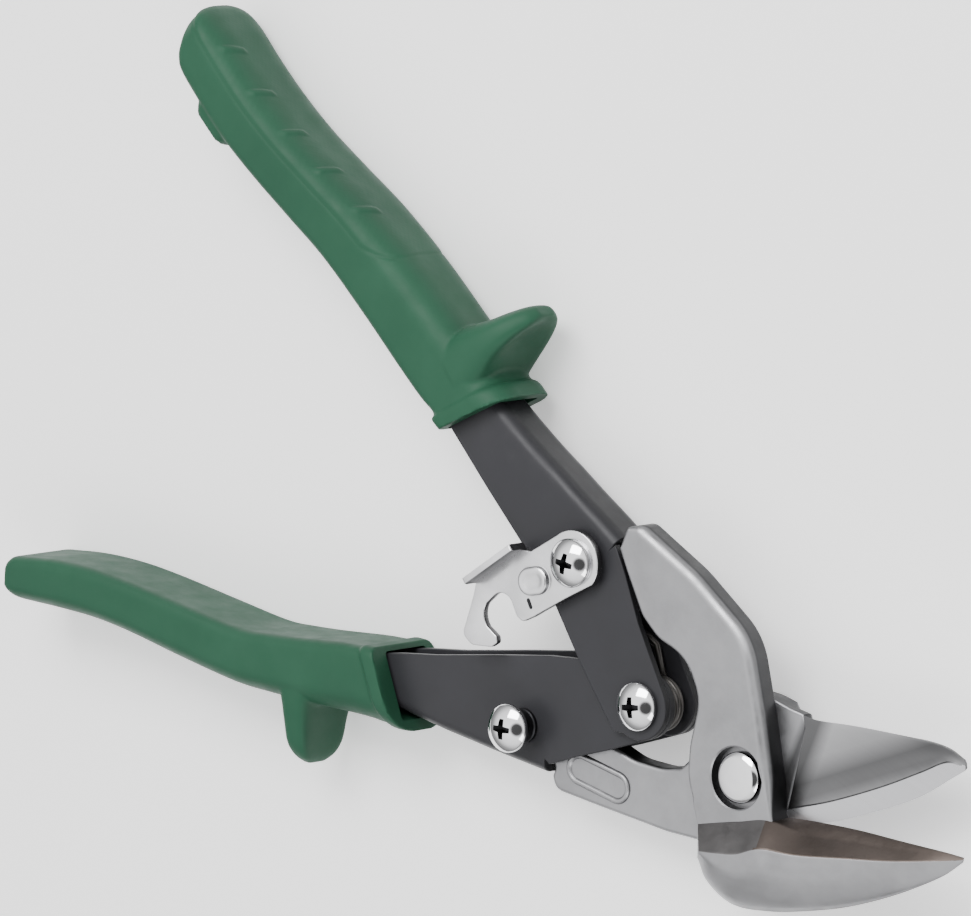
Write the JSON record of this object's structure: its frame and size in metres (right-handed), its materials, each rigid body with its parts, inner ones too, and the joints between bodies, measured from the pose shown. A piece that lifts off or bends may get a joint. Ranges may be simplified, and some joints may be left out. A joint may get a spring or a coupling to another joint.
{
  "type": "aviation snips",
  "caption": "Offset compound-leverage sheet-metal snips with forged jaws, pressed channel handles, moulded grips, an opening spring and a swinging latch.",
  "frame": {"origin": "main pivot's axis, on the bench plane that the tool lies on", "axes": "+Z along the pivots, up off the bench; +X from the handles towards the blades along the linkage's centre line; +Y towards the upper handle"},
  "size_m": [0.234, 0.1313, 0.0216],
  "materials": {
    "jaw_steel": "satin, bead-blasted forged steel",
    "handle_paint": "satin black paint",
    "grip": "matt green moulded vinyl",
    "bright_screw": "polished plating",
    "latch_zinc": "bright zinc",
    "plain_nut": "zinc",
    "spring_steel": "oiled spring steel"
  },
  "bodies": {
    "lower_jaw": {"lower_jaw": "jaw_steel", "pivot_bolt": "bright_screw", "pivot_washer": "plain_nut", "pivot_nut": "plain_nut"},
    "upper_jaw": {"upper_jaw": "jaw_steel"},
    "upper_handle": {"upper_handle": "handle_paint", "upper_grip": "grip", "upper_screw": "bright_screw", "upper_nut": "plain_nut", "upper_spacer": "plain_nut", "handle_screw": "bright_screw", "handle_sleeve": "plain_nut", "handle_nut": "plain_nut", "torsion_spring": "spring_steel"},
    "lower_handle": {"lower_handle": "handle_paint", "lower_grip": "grip", "post_screw": "bright_screw", "post_nut": "plain_nut", "lower_spacer": "plain_nut"},
    "latch": {"latch": "latch_zinc", "latch_washer": "plain_nut"}
  },
  "joints": [
    {"name": "jaw_pivot", "type": "hinge", "parent": "lower_jaw", "child": "upper_jaw", "pos_m": [0, 0, 0.0096], "axis": [0, 0, 1], "range_deg": [-18.2, 0], "stiffness_Nm_per_rad": 0.8, "springref_deg": 12.03},
    {"name": "upper_handle_pivot", "type": "hinge", "parent": "lower_jaw", "child": "upper_handle", "pos_m": [-0.05087, 0.01811, 0.0096], "axis": [0, 0, 1], "range_deg": [0, 8.9], "deforming": ["torsion_spring"]},
    {"name": "lower_handle_pivot", "type": "hinge", "parent": "upper_jaw", "child": "lower_handle", "pos_m": [-0.05087, -0.01811, 0.0096], "axis": [0, 0, 1], "range_deg": [-8.9, 0]},
    {"name": "latch_pivot", "type": "hinge", "parent": "upper_handle", "child": "latch", "pos_m": [-0.05087, 0.01811, 0.0096], "axis": [0, 0, 1], "range_deg": [-20, 16]}
  ],
  "couplings": [
    {"joint": "upper_handle_pivot", "follows": "jaw_pivot", "ratio": -0.4885},
    {"joint": "lower_handle_pivot", "follows": "jaw_pivot", "ratio": 0.4885}
  ]
}
